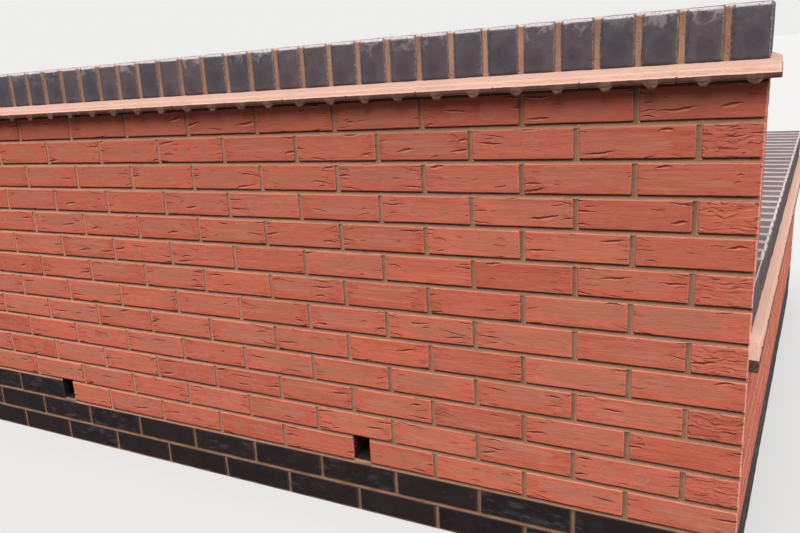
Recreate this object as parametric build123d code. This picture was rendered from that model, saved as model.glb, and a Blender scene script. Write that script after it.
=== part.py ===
"""Brick garden wall.

An L of two one-brick walls in stretcher bond.  The front wall is tall and the return behind its
right corner is low.  Each wall is two half-brick leaves with a mortar collar between them, and
ends in a creasing of plain tiles and a coping of bricks on edge.  Drain slots pass through the
first course over the front wall's blue brick plinth.

Millimetres, +Z up.  The front faces -Y and the return runs off along +Y.  The origin is the
middle of the front wall's foot.
"""
import os
from math import ceil, radians, tan

from build123d import *

# Bricks and joints
brick_length = 215.0
brick_width = 102.5
brick_height = 65.0
joint = 10.0

# Walls, counted in bricks and courses
front_courses = 15
return_stretchers = 10
return_courses = 7
plinth_courses = 2
return_skew = 2.6

# Drain slots, in the course over the plinth, with a stretch of wall before, between and after them
slots = 4
slot_width = 50.0
first_slot = 853.0
slot_pitch = 1115.0
last_stretch = 467.0

# Plain tiles of the creasing, with two nibs under the front edge
tile_length = 265.0
tile_width = 165.0
tile_thickness = 12.0
tile_gap = 9.0
tile_gap_recess = 4.0
smallest_tile = 45.0
end_overhang = 20.0
nib_spacing = 83.0
nib_root = 30.0
nib_tip = 11.0
nib_height = 11.0
nib_depth = 14.0

# Creasing of the return, in two courses of thinner tiles
return_tile_thickness = 11.0
return_overhang = 17.5
return_levelling_bed = 25.0
return_middle_bed = 5.0

# Beds and the weathered band of mortar between the tiles and the coping
creasing_bed = 7.0
coping_bed = 21.0
return_coping_bed = 50.0
band_setback = 1.5
band_weathering = 8.0

# Sizes that follow
course = brick_height + joint
stretcher = brick_length + joint
thickness = 2 * brick_width + joint
front_length = first_slot + (slots - 1) * slot_pitch + slot_width + last_stretch
return_length = return_stretchers * stretcher - joint
plinth_top = plinth_courses * course
slot_course_top = plinth_top + course
front_top = front_courses * course - joint / 2
return_top = return_courses * course - joint / 2
tile_overhang = (tile_length - thickness) / 2
face = -thickness / 2
back = thickness / 2
corner = front_length / 2
far_left = -front_length / 2
outer_leaf = (face, face + brick_width)
collar = (outer_leaf[1], outer_leaf[1] + joint)
inner_leaf = (collar[1], back)
corner_place = Location((corner, face, 0), (0, 0, -return_skew))


def block(x, y, z):
    """A box between the two values of each of x, y and z."""
    size = [high - low for low, high in (x, y, z)]
    middle = [(high + low) / 2 for low, high in (x, y, z)]
    return Pos(*middle) * Box(*size)


def rectangle(x, y, z):
    """A level rectangle between the two values of x and y, at the height z."""
    return Pos(sum(x) / 2, sum(y) / 2, z) * Rectangle(x[1] - x[0], y[1] - y[0])


def skewed_end(y):
    """Where the return's outer face, carried on to the front arris, crosses the line y."""
    return corner + (y - face) * tan(radians(return_skew))


def corner_block(left, y, z):
    """Masonry of the front wall that ends at the corner in the return's outer face."""
    outline = Polyline(
        (left, y[0]), (skewed_end(y[0]), y[0]), (skewed_end(y[1]), y[1]), (left, y[1]), close=True
    )
    return Pos(0, 0, z[0]) * extrude(make_face(outline), amount=z[1] - z[0])


def slot_starts():
    """The distance from the right corner to each drain slot."""
    return [first_slot + i * slot_pitch for i in range(slots)]


def slot_stretches():
    """The left and right end of each stretch of the slot course, from the corner leftwards."""
    rights = [corner] + [corner - start - slot_width for start in slot_starts()]
    lefts = [corner - start for start in slot_starts()] + [far_left]
    return list(zip(lefts, rights))


def slot_stretch(index, y):
    """One stretch of the slot course in the leaf or collar y."""
    left, right = slot_stretches()[index]
    z = (plinth_top, slot_course_top)
    return corner_block(left, y, z) if index == 0 else block((left, right), y, z)


def front_collar():
    """The mortar between the front wall's leaves, open at the drain slots."""
    lower = corner_block(far_left, collar, (0, return_top))
    upper = block((far_left, corner), collar, (return_top, front_top))
    wall = lower + upper
    for start in slot_starts():
        x = (corner - start - slot_width, corner - start)
        wall -= block(x, collar, (plinth_top, slot_course_top))
    return wall


def return_leaf(x, z):
    """A leaf or the collar of the return, from the back of the front wall to the far end."""
    leaf = corner_place * block(x, (0, return_length), z)
    front_wall = block((far_left, 2 * corner), (2 * face, back), (z[0], z[1]))
    return leaf - front_wall


def clear_of_front_wall(shape):
    """What is left of a layer of the return outside the front wall."""
    front_wall = block((far_left, corner), (face, back), (0, front_top))
    return shape - front_wall


def nib(depth):
    """A nib seen from the front as a foot with hollow flanks, hanging from z = 0."""
    root, tip = nib_root / 2, nib_tip / 2
    hollow = (root + tip) / 2 - nib_height / 8, -nib_height / 3
    outline = Curve() + [
        ThreePointArc((-root, 0), (-hollow[0], hollow[1]), (-tip, -nib_height)),
        Line((-tip, -nib_height), (tip, -nib_height)),
        ThreePointArc((tip, -nib_height), hollow, (root, 0)),
        Line((root, 0), (-root, 0)),
    ]
    return extrude(Plane.XZ * make_face(outline), amount=-depth)


def plain_tile(right, width, y, z, thickness_of_tile, with_nibs):
    """A plain tile laid across a wall, with its nibs down along the edge at the lower y."""
    tile = block((right - width, right), y, (z, z + thickness_of_tile))
    if with_nibs:
        edge = (tile_width - nib_spacing) / 2
        for reach in (edge, edge + nib_spacing):
            if reach + nib_root / 2 < width:
                tile += Pos(right - reach, y[0], z) * nib(nib_depth)
    return tile


def tile_spans(length):
    """The start and width of each tile along a row, the last cut, or the last two where it is small."""
    pitch = tile_width + tile_gap
    whole = ceil((length + tile_gap) / pitch) - 1
    spans = [(i * pitch, tile_width) for i in range(whole)]
    last = length - whole * pitch
    if last >= smallest_tile:
        return spans + [(whole * pitch, last)]
    start = spans.pop()[0]
    half = (length - start - tile_gap) / 2
    return spans + [(start, half), (start + half + tile_gap, half)]


def creasing_row_front():
    """Tiles with nibs, and the bed under them with its ribs of mortar between the tiles."""
    z = front_top + creasing_bed
    y = (face - tile_overhang, back + tile_overhang)
    right = corner + end_overhang
    spans = tile_spans(front_length + 2 * end_overhang)
    tiles = [plain_tile(right - start, width, y, z, tile_thickness, True) for start, width in spans]
    bed = block((far_left, corner), (face, back), (front_top, z))
    rib_y = (y[0] + tile_gap_recess, y[1] - tile_gap_recess)
    for start, width in spans[:-1]:
        gap = (right - start - width - tile_gap, right - start - width)
        bed += block(gap, rib_y, (z, z + tile_thickness))
    return tiles, bed


def creasing_row_return(z, stagger):
    """One course of tiles of the return from the height z, its joints moved on by stagger."""
    x = (return_overhang - tile_length, return_overhang)
    spans = [(0.0, stagger - tile_gap)] if stagger else []
    rest = tile_spans(return_length + end_overhang - stagger)
    spans += [(start + stagger, width) for start, width in rest]
    top = z + return_tile_thickness
    tiles = [block(x, (start, start + width), (z, top)) for start, width in spans]
    ribs = [
        block((x[0] + tile_gap_recess, x[1] - tile_gap_recess), (start - tile_gap, start), (z, top))
        for start, _ in spans[1:]
    ]
    place = [clear_of_front_wall(corner_place * tile) for tile in tiles]
    return place, [clear_of_front_wall(corner_place * rib) for rib in ribs]


def mortar_band(x, y, overhang_x, overhang_y, z):
    """The coping's bed over the tiles x by y, with an upright face and a weathered top."""
    wide_x = (x[0] - overhang_x[0], x[1] + overhang_x[1])
    wide_y = (y[0] - overhang_y[0], y[1] + overhang_y[1])
    shoulder = z[1] - band_weathering
    slope = loft(Sketch() + [rectangle(wide_x, wide_y, shoulder), rectangle(x, y, z[1])])
    return block(wide_x, wide_y, (z[0], shoulder)) + slope


def coping_spans(length):
    """The start and end of each brick on edge along a coping, evenly spread."""
    count = int((length + joint) / course)
    pitch = (length + joint) / count
    return [(i * pitch, i * pitch + brick_height) for i in range(count)]


parts = {}

# Front wall, in two leaves
plinth = (0, plinth_top)
parts["front_plinth_outer"] = corner_block(far_left, outer_leaf, plinth)
parts["front_plinth_inner"] = corner_block(far_left, inner_leaf, plinth)
for i in range(len(slot_stretches())):
    parts[f"slot_course_outer_{i + 1}"] = slot_stretch(i, outer_leaf)
    parts[f"slot_course_inner_{i + 1}"] = slot_stretch(i, inner_leaf)
lower = (slot_course_top, return_top)
parts["front_facing_lower"] = corner_block(far_left, outer_leaf, lower)
parts["front_backing_lower"] = corner_block(far_left, inner_leaf, lower)
upper = (return_top, front_top)
parts["front_facing_upper"] = block((far_left, corner), outer_leaf, upper)
parts["front_backing_upper"] = block((far_left, corner), inner_leaf, upper)
parts["front_collar_joint"] = front_collar()

# Return, in two leaves
return_outer = (-brick_width, 0)
return_collar = (-brick_width - joint, -brick_width)
return_inner = (-thickness, -brick_width - joint)
parts["return_plinth_outer"] = return_leaf(return_outer, plinth)
parts["return_plinth_inner"] = return_leaf(return_inner, plinth)
parts["return_facing"] = return_leaf(return_outer, (plinth_top, return_top))
parts["return_backing"] = return_leaf(return_inner, (plinth_top, return_top))
parts["return_collar_joint"] = return_leaf(return_collar, (0, return_top))

# Creasing of the front wall
front_tiles, front_bed = creasing_row_front()
parts["front_creasing_tiles"] = Compound(children=front_tiles)
parts["front_creasing_bed"] = front_bed
front_tile_top = front_top + creasing_bed + tile_thickness

# Creasing of the return, two courses that break joint
lower_tiles_z = return_top + return_levelling_bed
upper_tiles_z = lower_tiles_z + return_tile_thickness + return_middle_bed
return_tile_top = upper_tiles_z + return_tile_thickness
tile_run = (0, return_length)
lower_tiles, lower_ribs = creasing_row_return(lower_tiles_z, 0)
upper_tiles, upper_ribs = creasing_row_return(upper_tiles_z, (tile_width + tile_gap) / 2)
levelling = corner_place * block((-thickness, 0), tile_run, (return_top, lower_tiles_z))
levelling = clear_of_front_wall(levelling)
middle = block(
    (return_overhang - tile_length + tile_gap_recess, return_overhang - tile_gap_recess),
    (0, return_length + end_overhang - tile_gap_recess),
    (lower_tiles_z + return_tile_thickness, upper_tiles_z),
)
middle = clear_of_front_wall(corner_place * middle)
for rib in lower_ribs:
    levelling += rib
for rib in upper_ribs:
    middle += rib
parts["return_creasing_levelling_bed"] = levelling
parts["return_creasing_tiles_lower"] = Compound(children=lower_tiles)
parts["return_creasing_middle_bed"] = middle
parts["return_creasing_tiles_upper"] = Compound(children=upper_tiles)

# Coping of the front wall
front_coping_z = (front_tile_top + coping_bed, front_tile_top + coping_bed + brick_width)
side = tile_overhang - band_setback
end = end_overhang - band_setback
parts["front_coping_band"] = mortar_band(
    (far_left, corner), (face, back), (end, end), (side, side), (front_tile_top, front_coping_z[0])
)
spans = coping_spans(front_length)
parts["front_coping_bricks"] = Compound(
    children=[block((corner - b, corner - a), (face, back), front_coping_z) for a, b in spans]
)
parts["front_coping_joints"] = Compound(
    children=[
        block((corner - after[0], corner - before[1]), (face, back), front_coping_z)
        for before, after in zip(spans, spans[1:])
    ]
)

# Coping of the return, whose first whole brick stands behind the front wall
return_coping_z = (return_tile_top + return_coping_bed, return_tile_top + return_coping_bed + brick_width)
outer_side = return_overhang - band_setback
inner_side = tile_length - thickness - return_overhang - band_setback
band = mortar_band(
    (-thickness, 0), tile_run, (inner_side, outer_side), (0, end), (return_tile_top, return_coping_z[0])
)
parts["return_coping_band"] = clear_of_front_wall(corner_place * band)
spans = [(a, b) for a, b in coping_spans(return_length) if a > thickness]
bricks = [corner_place * block((-thickness, 0), span, return_coping_z) for span in spans]
joints = [
    corner_place * block((-thickness, 0), (before[1], after[0]), return_coping_z)
    for before, after in zip(spans, spans[1:])
]

# A cut slip of brick beside the front wall closes the coping to the front arris
rest = clear_of_front_wall(corner_place * block((-thickness, 0), (0, spans[0][0]), return_coping_z))
beside = block((corner, corner + thickness), (face, back), return_coping_z)
bricks.insert(0, rest & beside)
joints.insert(0, rest - beside)
parts["return_coping_bricks"] = Compound(children=bricks)
parts["return_coping_joints"] = Compound(children=joints)

os.makedirs("parts", exist_ok=True)
for name, shape in parts.items():
    export_step(shape, f"parts/{name}.step")
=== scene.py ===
from math import cos, radians, sin, tan

import bpy
import numpy as np
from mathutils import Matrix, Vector


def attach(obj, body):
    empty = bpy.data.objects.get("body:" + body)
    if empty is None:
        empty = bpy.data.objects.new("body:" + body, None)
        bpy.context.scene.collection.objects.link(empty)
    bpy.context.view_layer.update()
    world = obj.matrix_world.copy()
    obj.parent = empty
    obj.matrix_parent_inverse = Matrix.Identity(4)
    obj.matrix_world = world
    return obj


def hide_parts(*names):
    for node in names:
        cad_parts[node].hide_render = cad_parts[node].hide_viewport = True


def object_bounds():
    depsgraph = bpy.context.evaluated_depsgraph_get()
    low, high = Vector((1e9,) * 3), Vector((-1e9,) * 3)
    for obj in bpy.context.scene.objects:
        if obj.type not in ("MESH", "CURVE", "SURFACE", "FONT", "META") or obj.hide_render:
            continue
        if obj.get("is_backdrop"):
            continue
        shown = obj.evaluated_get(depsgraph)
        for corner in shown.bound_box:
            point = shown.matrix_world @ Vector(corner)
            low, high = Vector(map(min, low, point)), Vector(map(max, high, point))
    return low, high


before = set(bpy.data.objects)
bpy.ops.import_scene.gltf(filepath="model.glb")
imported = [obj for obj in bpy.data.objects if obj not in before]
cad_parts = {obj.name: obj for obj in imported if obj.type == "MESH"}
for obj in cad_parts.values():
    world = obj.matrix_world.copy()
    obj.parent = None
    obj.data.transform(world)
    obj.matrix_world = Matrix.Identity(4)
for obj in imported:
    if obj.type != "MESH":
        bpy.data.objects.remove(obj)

cad_low, cad_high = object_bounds()

# Sizes in metres, as in the CAD
BRICK, HALF, HIGH, JOINT = 0.215, 0.1025, 0.065, 0.01
PITCH, COURSE, THICK = BRICK + JOINT, HIGH + JOINT, BRICK
LENGTH, RETURN = 4.715, 2.24
CORNER, FACE = LENGTH / 2, -THICK / 2
SKEW = radians(2.6)
FRONT_COURSES, RETURN_COURSES, PLINTH = 15, 7, 2
SLOTS, SLOT_WIDTH = [0.853, 1.968, 3.083, 4.198], 0.05
BLUE_FROM = SLOTS[1]  # from this slot leftwards the slot course is blue too

# The head of each wall: heights of its layers, and its tiles
FRONT_TOP, FRONT_TILES, FRONT_BAND, FRONT_COPING = 1.12, 1.127, 1.139, 1.16
RETURN_TOP, RETURN_TILES, RETURN_BAND, RETURN_COPING = 0.52, (0.545, 0.561), 0.572, 0.622
TILE_WIDTH, TILE_GAP, FRONT_TILE, RETURN_TILE = 0.165, 0.009, 0.012, 0.011
OVERHANG, OUTER_OVERHANG, INNER_OVERHANG, END_OVERHANG = 0.025, 0.0175, 0.0325, 0.02
NIB_HALF, NIB_DROP, NIB_PLACES = 0.0185, 0.0112, (0.041, 0.124)
NIB_FLAG = -1  # stands for a face's size on the nibs, to tell them from the tiles
COPING_HIGH = 0.1005
# painted shade: the brickwork under the tiles' overhang is darkened in its colour
SHADE_PAINTED_UNDER_TILES = (FRONT_TOP - 0.08, FRONT_TOP)  # the brickwork that the tiles keep dark

# How far from the corner its first bricks lean with the return, and where the return's own
# pieces end inside the front wall
SHEARED, MEETING = 0.08, CORNER - 0.002

# Wall faces: a point at the low end, the direction along, the direction into the wall
along, across = (sin(SKEW), cos(SKEW)), (-cos(SKEW), sin(SKEW))


def on_return(depth, run):
    """A point in plan, depth in from the return's outer face and run along it from the corner."""
    return (CORNER + run * along[0] + depth * across[0], FACE + run * along[1] + depth * across[1])


WALLS = {
    "front": ((-CORNER, FACE), (1, 0), (0, 1)),
    "back": ((CORNER, -FACE), (-1, 0), (0, -1)),
    "right": ((CORNER, FACE), (0, 1), (-1, 0)),
    "left": ((-CORNER, -FACE), (0, -1), (1, 0)),
    "return": ((CORNER, FACE), along, across),
    "inner": (on_return(THICK, RETURN), (-along[0], -along[1]), (-across[0], -across[1])),
    "return_end": (on_return(0, RETURN), across, (-along[0], -along[1])),
}


def new_object(name, data):
    thing = bpy.data.objects.new(name, data)
    bpy.context.scene.collection.objects.link(thing)
    return thing


# Mesh code
def lattice(i, j, k, seed):
    """A repeatable value from 0 to 1 for each corner of a lattice."""
    n = (i * 374761393 + j * 668265263 + k * 1440662683 + seed * 982451653) & 0xFFFFFFFF
    n = ((n ^ (n >> 13)) * 1274126177) & 0xFFFFFFFF
    return ((n ^ (n >> 16)) & 0xFFFF) / 65535


def noise(p, cell, seed):
    """Smooth noise from -1 to 1 at the points p, with lumps of the size cell."""
    q = np.asarray(p) / cell
    base = np.floor(q).astype(np.int64)
    t = q - base
    t = t * t * (3 - 2 * t)
    total = 0
    for step in np.ndindex(2, 2, 2):
        weight = np.prod(np.abs(1 - np.array(step) - t), axis=-1)
        total = total + weight * lattice(*(base[..., k] + step[k] for k in range(3)), seed)
    return total * 2 - 1


def grid_quads(n, m):
    """The quads between n rows of m points."""
    i, j = np.meshgrid(np.arange(n - 1), np.arange(m - 1), indexing="ij")
    c = i * m + j
    return np.stack([c, c + 1, c + m + 1, c + m], -1).reshape(-1, 4)


class Mesh:
    """Collects quads with their face coordinates, face sizes and brick seeds."""

    def __init__(self, name):
        self.name, self.count = name, 0
        self.points, self.quads, self.uv, self.size, self.seed = [], [], [], [], []

    def add(self, points, quads, uv=0, size=0, seed=0):
        self.points.append(points)
        self.quads.append(quads + self.count)
        self.count += len(points)
        self.uv.append(np.broadcast_to(uv, (len(quads), 4, 2)))
        self.size.append(np.broadcast_to(size, (len(quads), 4, 2)))
        self.seed.append(np.broadcast_to(seed, (len(quads), 4)))

    def build(self, material, slot, *nodes):
        def fill(data, key, values, kind=np.float32):
            data.foreach_set(key, values.astype(kind).ravel())

        points = np.clip(np.concatenate(self.points), cad_low, cad_high)
        quads = np.concatenate(self.quads)
        mesh = bpy.data.meshes.new(self.name)
        mesh.vertices.add(len(points))
        mesh.loops.add(quads.size)
        mesh.polygons.add(len(quads))
        fill(mesh.vertices, "co", points)
        fill(mesh.loops, "vertex_index", quads, np.int32)
        fill(mesh.polygons, "loop_start", np.arange(0, quads.size, 4), np.int32)
        fill(mesh.polygons, "use_smooth", np.ones(len(quads)), bool)
        mesh.update(calc_edges=True)
        for label, values in (("UVMap", self.uv), ("Face", self.size)):
            fill(mesh.uv_layers.new(name=label).uv, "vector", np.concatenate(values))
        seeds = mesh.attributes.new("Seed", "FLOAT_COLOR", "CORNER")
        fill(seeds.data, "color", np.repeat(np.concatenate(self.seed)[:, None], 4, axis=1))
        piece = new_object(self.name, mesh)
        mesh.materials.append(material)
        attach(piece, "root")
        if nodes:
            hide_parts(*nodes)


def cuts(count, radius):
    """Lines across a side as (share of its length, metres more), close together at its edges."""
    edge = [0, radius / 2, radius, radius * 1.6]
    lines = [(0, e) for e in edge]
    lines += [(i / count, edge[-1] * (1 - 2 * i / count)) for i in range(1, count)]
    return np.array(lines + [(1, -e) for e in reversed(edge)])


def box_faces(na, nd, nz, closed):
    """The quads on a box of na x nd x nz lines as lattice corners, and the axis each faces."""
    def grid(n, m, corner, axis):
        p, q = np.meshgrid(np.arange(n - 1), np.arange(m - 1), indexing="ij")
        ring = [corner(i, j) for i, j in [(p, q), (p + 1, q), (p + 1, q + 1), (p, q + 1)]]
        quads = np.stack([np.stack(np.broadcast_arrays(*c), -1) for c in ring], -2)
        return quads.reshape(-1, 4, 3), np.full(quads[..., 0, 0].size, axis)

    sides = [
        grid(na, nz, lambda i, j: (i, 0, j), 1),
        grid(nd, nz, lambda i, j: (na - 1, i, j), 0),
        grid(nd, nz, lambda i, j: (0, nd - 1 - i, j), 0),
        grid(na, nd, lambda i, j: (i, j, nz - 1), 2),
        grid(nd, na, lambda i, j: (j, i, 0), 2),
    ]
    if closed:
        sides.append(grid(na, nz, lambda i, j: (na - 1 - i, nd - 1, j), 1))
    return np.concatenate([q for q, _ in sides]), np.concatenate([a for _, a in sides])


def add_boxes(mesh, boxes, counts, radius, rough, chips=1, depth=None, seed=1, clip=False):
    """Rounded boxes with worn arrises, each (wall, along, inward, height, seeds, sheared).

    The counts are of the parts between the lines across each side. With a depth the boxes are
    caps that reach only so far into the wall, and clipped ones end inside the front wall."""
    lines = [cuts(n, radius) for n in counts]
    if depth:
        lines[1] = np.array([(0, 0), (0, radius), (0, depth)])
    corners, axes = box_faces(*(len(line) for line in lines), not depth)
    shape = tuple(len(line) for line in lines)
    flat = np.ravel_multi_index(tuple(np.moveaxis(corners, -1, 0)), shape)
    used, quads = np.unique(flat, return_inverse=True)
    quads = quads.reshape(-1, 4)
    at = np.stack(np.unravel_index(used, shape), -1)

    low, high = np.moveaxis(np.array([b[1:4] for b in boxes]), -1, 0)
    side = high - low
    place = np.stack(
        [lines[k][at[:, k], 0] * side[:, k:k + 1] + lines[k][at[:, k], 1] for k in range(3)], -1
    )
    inner = np.clip(place, radius, side[:, None] - radius)
    outward = place - inner
    outward /= np.linalg.norm(outward, axis=-1, keepdims=True)
    edge = np.clip((1 - np.abs(outward).max(-1)) * 3.4, 0, 1)  # 1 along the middle of an arris
    local = inner + outward * radius + low[:, None]

    origin, ux, uy = np.array([WALLS[b[0]] for b in boxes], float).swapaxes(0, 1)[:, :, None]
    turn = lambda v: np.concatenate([v[..., :1] * ux + v[..., 1:2] * uy, v[..., 2:]], -1)
    world, normal = turn(local), turn(outward)
    world[..., :2] += origin
    seeds = np.array([b[4] for b in boxes])
    own = world + seeds[:, None, :3] * 7
    bulge = noise(own, cell=0.045, seed=seed) + 0.45 * noise(own, cell=0.014, seed=seed + 1)
    chip = np.clip(noise(own, cell=0.012, seed=seed + 2) + 0.1, 0, 1) * edge * chips
    world += normal * (rough * bulge - chip * radius * 0.5)[..., None]
    sheared = np.array([b[5] for b in boxes])[:, None] & (world[..., 0] > CORNER - SHEARED)
    world[..., 0] += np.where(sheared, (world[..., 1] - FACE) * tan(SKEW), 0)
    if clip:
        world[..., 0] = np.maximum(world[..., 0], MEETING)

    uv = np.zeros((len(boxes), len(quads), 4, 2))
    size = np.zeros_like(uv)
    for axis, pair in {0: (1, 2), 1: (0, 2), 2: (0, 1)}.items():
        here = axes == axis
        for c, k in enumerate(pair):
            uv[..., c][:, here] = place[..., k][:, quads[here]]
            size[..., c][:, here] = side[:, k][:, None, None]
    shift = (np.arange(len(boxes)) * len(used))[:, None, None]
    mesh.add(
        world.reshape(-1, 3), (quads[None] + shift).reshape(-1, 4),
        uv.reshape(-1, 4, 2), size.reshape(-1, 4, 2), np.repeat(seeds, len(quads), axis=0),
    )


def add_strip(
    mesh, wall, run, at, profile, upright=False, step=0.017, mitre=(1, 1), rough=0.0005, tone=None
):
    """Struck mortar in a joint along run, at the given height, or upright at that place along.

    The profile is (across the joint, depth in the wall) pairs in mm, from low to high. At a mitre
    the strip ends on the slant of a wall's corner. With a tone, all of it has the colour of that
    place across, in mm too."""
    n, m = max(2, int(round((run[1] - run[0]) / step)) + 1), len(profile)
    way = np.linspace(run[0], run[1], n)[:, None]
    cross = np.array(profile)[None] / 1000
    depth = np.broadcast_to(cross[..., 1], (n, m)).copy()
    level = at + cross[..., 0] + 0 * way
    way = way + 0 * level
    if not upright:
        way = np.clip(way, run[0] + mitre[0] * depth, run[1] - mitre[1] * depth)
    origin, ux, uy = np.array(WALLS[wall], float)
    a, z = (level, way) if upright else (way, level)
    place = lambda: np.concatenate(
        [origin + a[..., None] * ux + depth[..., None] * uy, z[..., None]], -1
    )
    ripple = noise(place(), cell=0.022, seed=5) + 0.7 * noise(place(), cell=0.008, seed=6)
    depth = depth + rough * ripple
    if not upright:
        z = z + 0.6 * rough * noise(place(), cell=0.03, seed=7)
    quads = grid_quads(n, m) if upright else grid_quads(n, m)[:, [0, 3, 2, 1]]
    place_across = cross[0, quads % m, 0] if tone is None else np.full(quads.shape, tone / 1000)
    uv = np.stack([place_across, np.full(quads.shape, 1 if upright else 0)], -1)
    mesh.add(place().reshape(-1, 3), quads, uv)


def chain(points, radius, step, closed):
    """Runs round the corners of an outline: sides and shares of them, close together at corners."""
    spots = []
    for i in range(len(points) if closed else len(points) - 1):
        length = float(np.linalg.norm(points[(i + 1) % len(points)] - points[i]))
        steps = max(1, int(length / step))
        near = [e * radius / length for e in ((0, 0.4, 1, 1.8) if length > 4 * radius else (0,))]
        shares = near + list(np.linspace(near[-1], 1 - near[-1], steps + 1)[1:-1])
        spots += [(i, share) for share in shares + [1 - e for e in near[:0:-1]]]
    if not closed:
        spots.append((len(points) - 2, 1))
    return np.array([i for i, _ in spots]), np.array([[share] for _, share in spots])


def add_ring(mesh, outer, inner, profile, closed=True, radius=0.004, step=0.012, rough=0.0008):
    """Mortar round an outline, with a profile of (share from outer to inner, height) pairs."""
    outer, inner = np.array(outer, float), np.array(inner, float)
    i, along = chain(outer, radius, step, closed)
    j = (i + 1) % len(outer)
    out, deep = (points[i] * (1 - along) + points[j] * along for points in (outer, inner))
    # Round the corners off, by moving what is near them towards the middle
    near = np.minimum(along, 1 - along) * np.linalg.norm(outer[j] - outer[i], axis=1)[:, None]
    tuck = np.clip(1 - near / radius, 0, 1) ** 2 * radius * 0.42
    side = np.sign(outer.mean(0) - np.where(along < 0.5, outer[i], outer[j]))
    out = out + side * (tuck / 1.4) * (1 if closed else 0.5)
    share = np.array([p[0] for p in profile])[None, :, None]
    height = np.array([p[1] for p in profile])
    flat = out[:, None] * (1 - share) + deep[:, None] * share
    world = np.concatenate([flat, np.broadcast_to(height[:, None], (*flat.shape[:2], 1))], -1)
    away = out - deep
    away /= np.maximum(np.linalg.norm(away, axis=1, keepdims=True), 1e-6)
    wobble = rough * (noise(world, cell=0.05, seed=11) + 0.6 * noise(world, cell=0.016, seed=12))
    world[..., :2] += away[:, None] * np.minimum(wobble, rough)[..., None]
    world[..., 2] += 0.6 * rough * noise(world, cell=0.02, seed=13)
    n, m = world.shape[:2]
    i, j = np.meshgrid(np.arange(n if closed else n - 1), np.arange(m - 1), indexing="ij")
    c, d = i * m + j, ((i + 1) % n) * m + j
    mesh.add(world.reshape(-1, 3), np.stack([c, d, d + 1, c + 1], -1).reshape(-1, 4))


# The bond: every brick is (wall, along, inward, height, seeds, sheared to the return's face)
rng = np.random.default_rng(20)
COVERED = THICK + 0.001  # of the back, from the corner, by the return
ROOM_FOR_BRICK, ROOM_FOR_TWO = 0.26, 0.23
SMALL = 1e-6


def brick(wall, run, inward, height, sheared=False):
    out = float(np.clip(rng.normal(0, 0.0003), -0.0004, 0.0008))
    return (wall, run, (inward[0] + out, inward[1]), height, rng.random(4), sheared)


def box(wall, run, inward, height):
    return (wall, run, inward, height, rng.random(4), False)


def row(first, count):
    """The start and end of whole stretchers laid in a row."""
    return [(first + n * PITCH, first + n * PITCH + BRICK) for n in range(count)]


def front_spans(k):
    """The start and end of each brick of a course, from the right corner leftwards."""
    whole = round((LENGTH + JOINT) / PITCH)
    if k != PLINTH:
        if k % 2 == 0:
            return row(0, whole)
        return [(0, HALF)] + row(HALF + JOINT, whole - 1) + [(LENGTH - HALF, LENGTH)]
    spans, start = [], 0
    for stop in SLOTS + [LENGTH]:
        while stop - start > ROOM_FOR_BRICK:
            spans.append((start, start + BRICK))
            start += PITCH
        if stop - start > ROOM_FOR_TWO:
            middle = (start + stop) / 2
            spans += [(start, middle - JOINT / 2), (middle + JOINT / 2, stop)]
        else:
            spans.append((start, stop))
        start = stop + SLOT_WIDTH
    return spans


def touches_slot(start, stop):
    return any(start < slot + SLOT_WIDTH + SMALL and stop > slot - SMALL for slot in SLOTS)


def course_height(k):
    return (k * COURSE + JOINT / 2, k * COURSE + JOINT / 2 + HIGH)


caps = {"red_front": [], "red_back": [], "red_return": [], "blue": []}
blocks = {"red": [], "blue": []}
perps = []
for k in range(FRONT_COURSES):
    z = course_height(k)
    spans = front_spans(k)
    for wall in ("front", "back"):
        low = wall == "back" and k < RETURN_COURSES
        for i, (start, stop) in enumerate(spans):
            run = (LENGTH - stop, LENGTH - start) if wall == "front" else (start, stop)
            kind = "blue" if k < PLINTH or (k == PLINTH and start > BLUE_FROM) else "red"
            last = i in (0, len(spans) - 1)
            through = k % 2 == 1 and last
            after_slot = any(abs(start - slot - SLOT_WIDTH) < SMALL for slot in SLOTS)
            if start > (COVERED if low else 0) and not after_slot:
                place = start - JOINT / 2
                perps.append((wall, LENGTH - place if wall == "front" else place, k))
            if (low and stop < COVERED) or (through and wall == "back"):
                continue
            if last or (k in (PLINTH, PLINTH + 1) and touches_slot(start, stop)):
                deep = (0, THICK) if through else (0, HALF)
                blocks[kind].append(brick(wall, run, deep, z, i == 0 and k < RETURN_COURSES))
            else:
                group = caps["blue" if kind == "blue" else "red_" + wall]
                group.append(brick(wall, run, (0, HALF), z))
    if k % 2 == 0:
        perps.append(("left", HALF + JOINT / 2, k))
        if k >= RETURN_COURSES:
            perps.append(("right", HALF + JOINT / 2, k))

for k in range(RETURN_COURSES):
    z = course_height(k)
    kind = "blue" if k < PLINTH else "red"
    if k % 2 == 0:
        outer = row(HALF + JOINT, 9)
        inner = [(PITCH, PITCH + HALF)] + outer[1:]
        blocks[kind].append(brick("return", (RETURN - HALF, RETURN), (0, THICK), z))
    else:
        inner = outer = row(PITCH, 8)
        blocks[kind].append(brick("return", (RETURN - BRICK, RETURN), (0, HALF), z))
        blocks[kind].append(brick("inner", (0, BRICK), (0, HALF), z))
        perps.append(("return_end", HALF + JOINT / 2, k))
    perps.append(("return", outer[0][0] - JOINT / 2, k))
    group = caps["blue" if kind == "blue" else "red_return"]
    for start, stop in outer:
        group.append(brick("return", (start, stop), (0, HALF), z))
        perps.append(("return", stop + JOINT / 2, k))
    for start, stop in inner:
        group.append(brick("inner", (RETURN - stop, RETURN - start), (0, HALF), z))
        perps.append(("inner", RETURN - stop - JOINT / 2, k))


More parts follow.
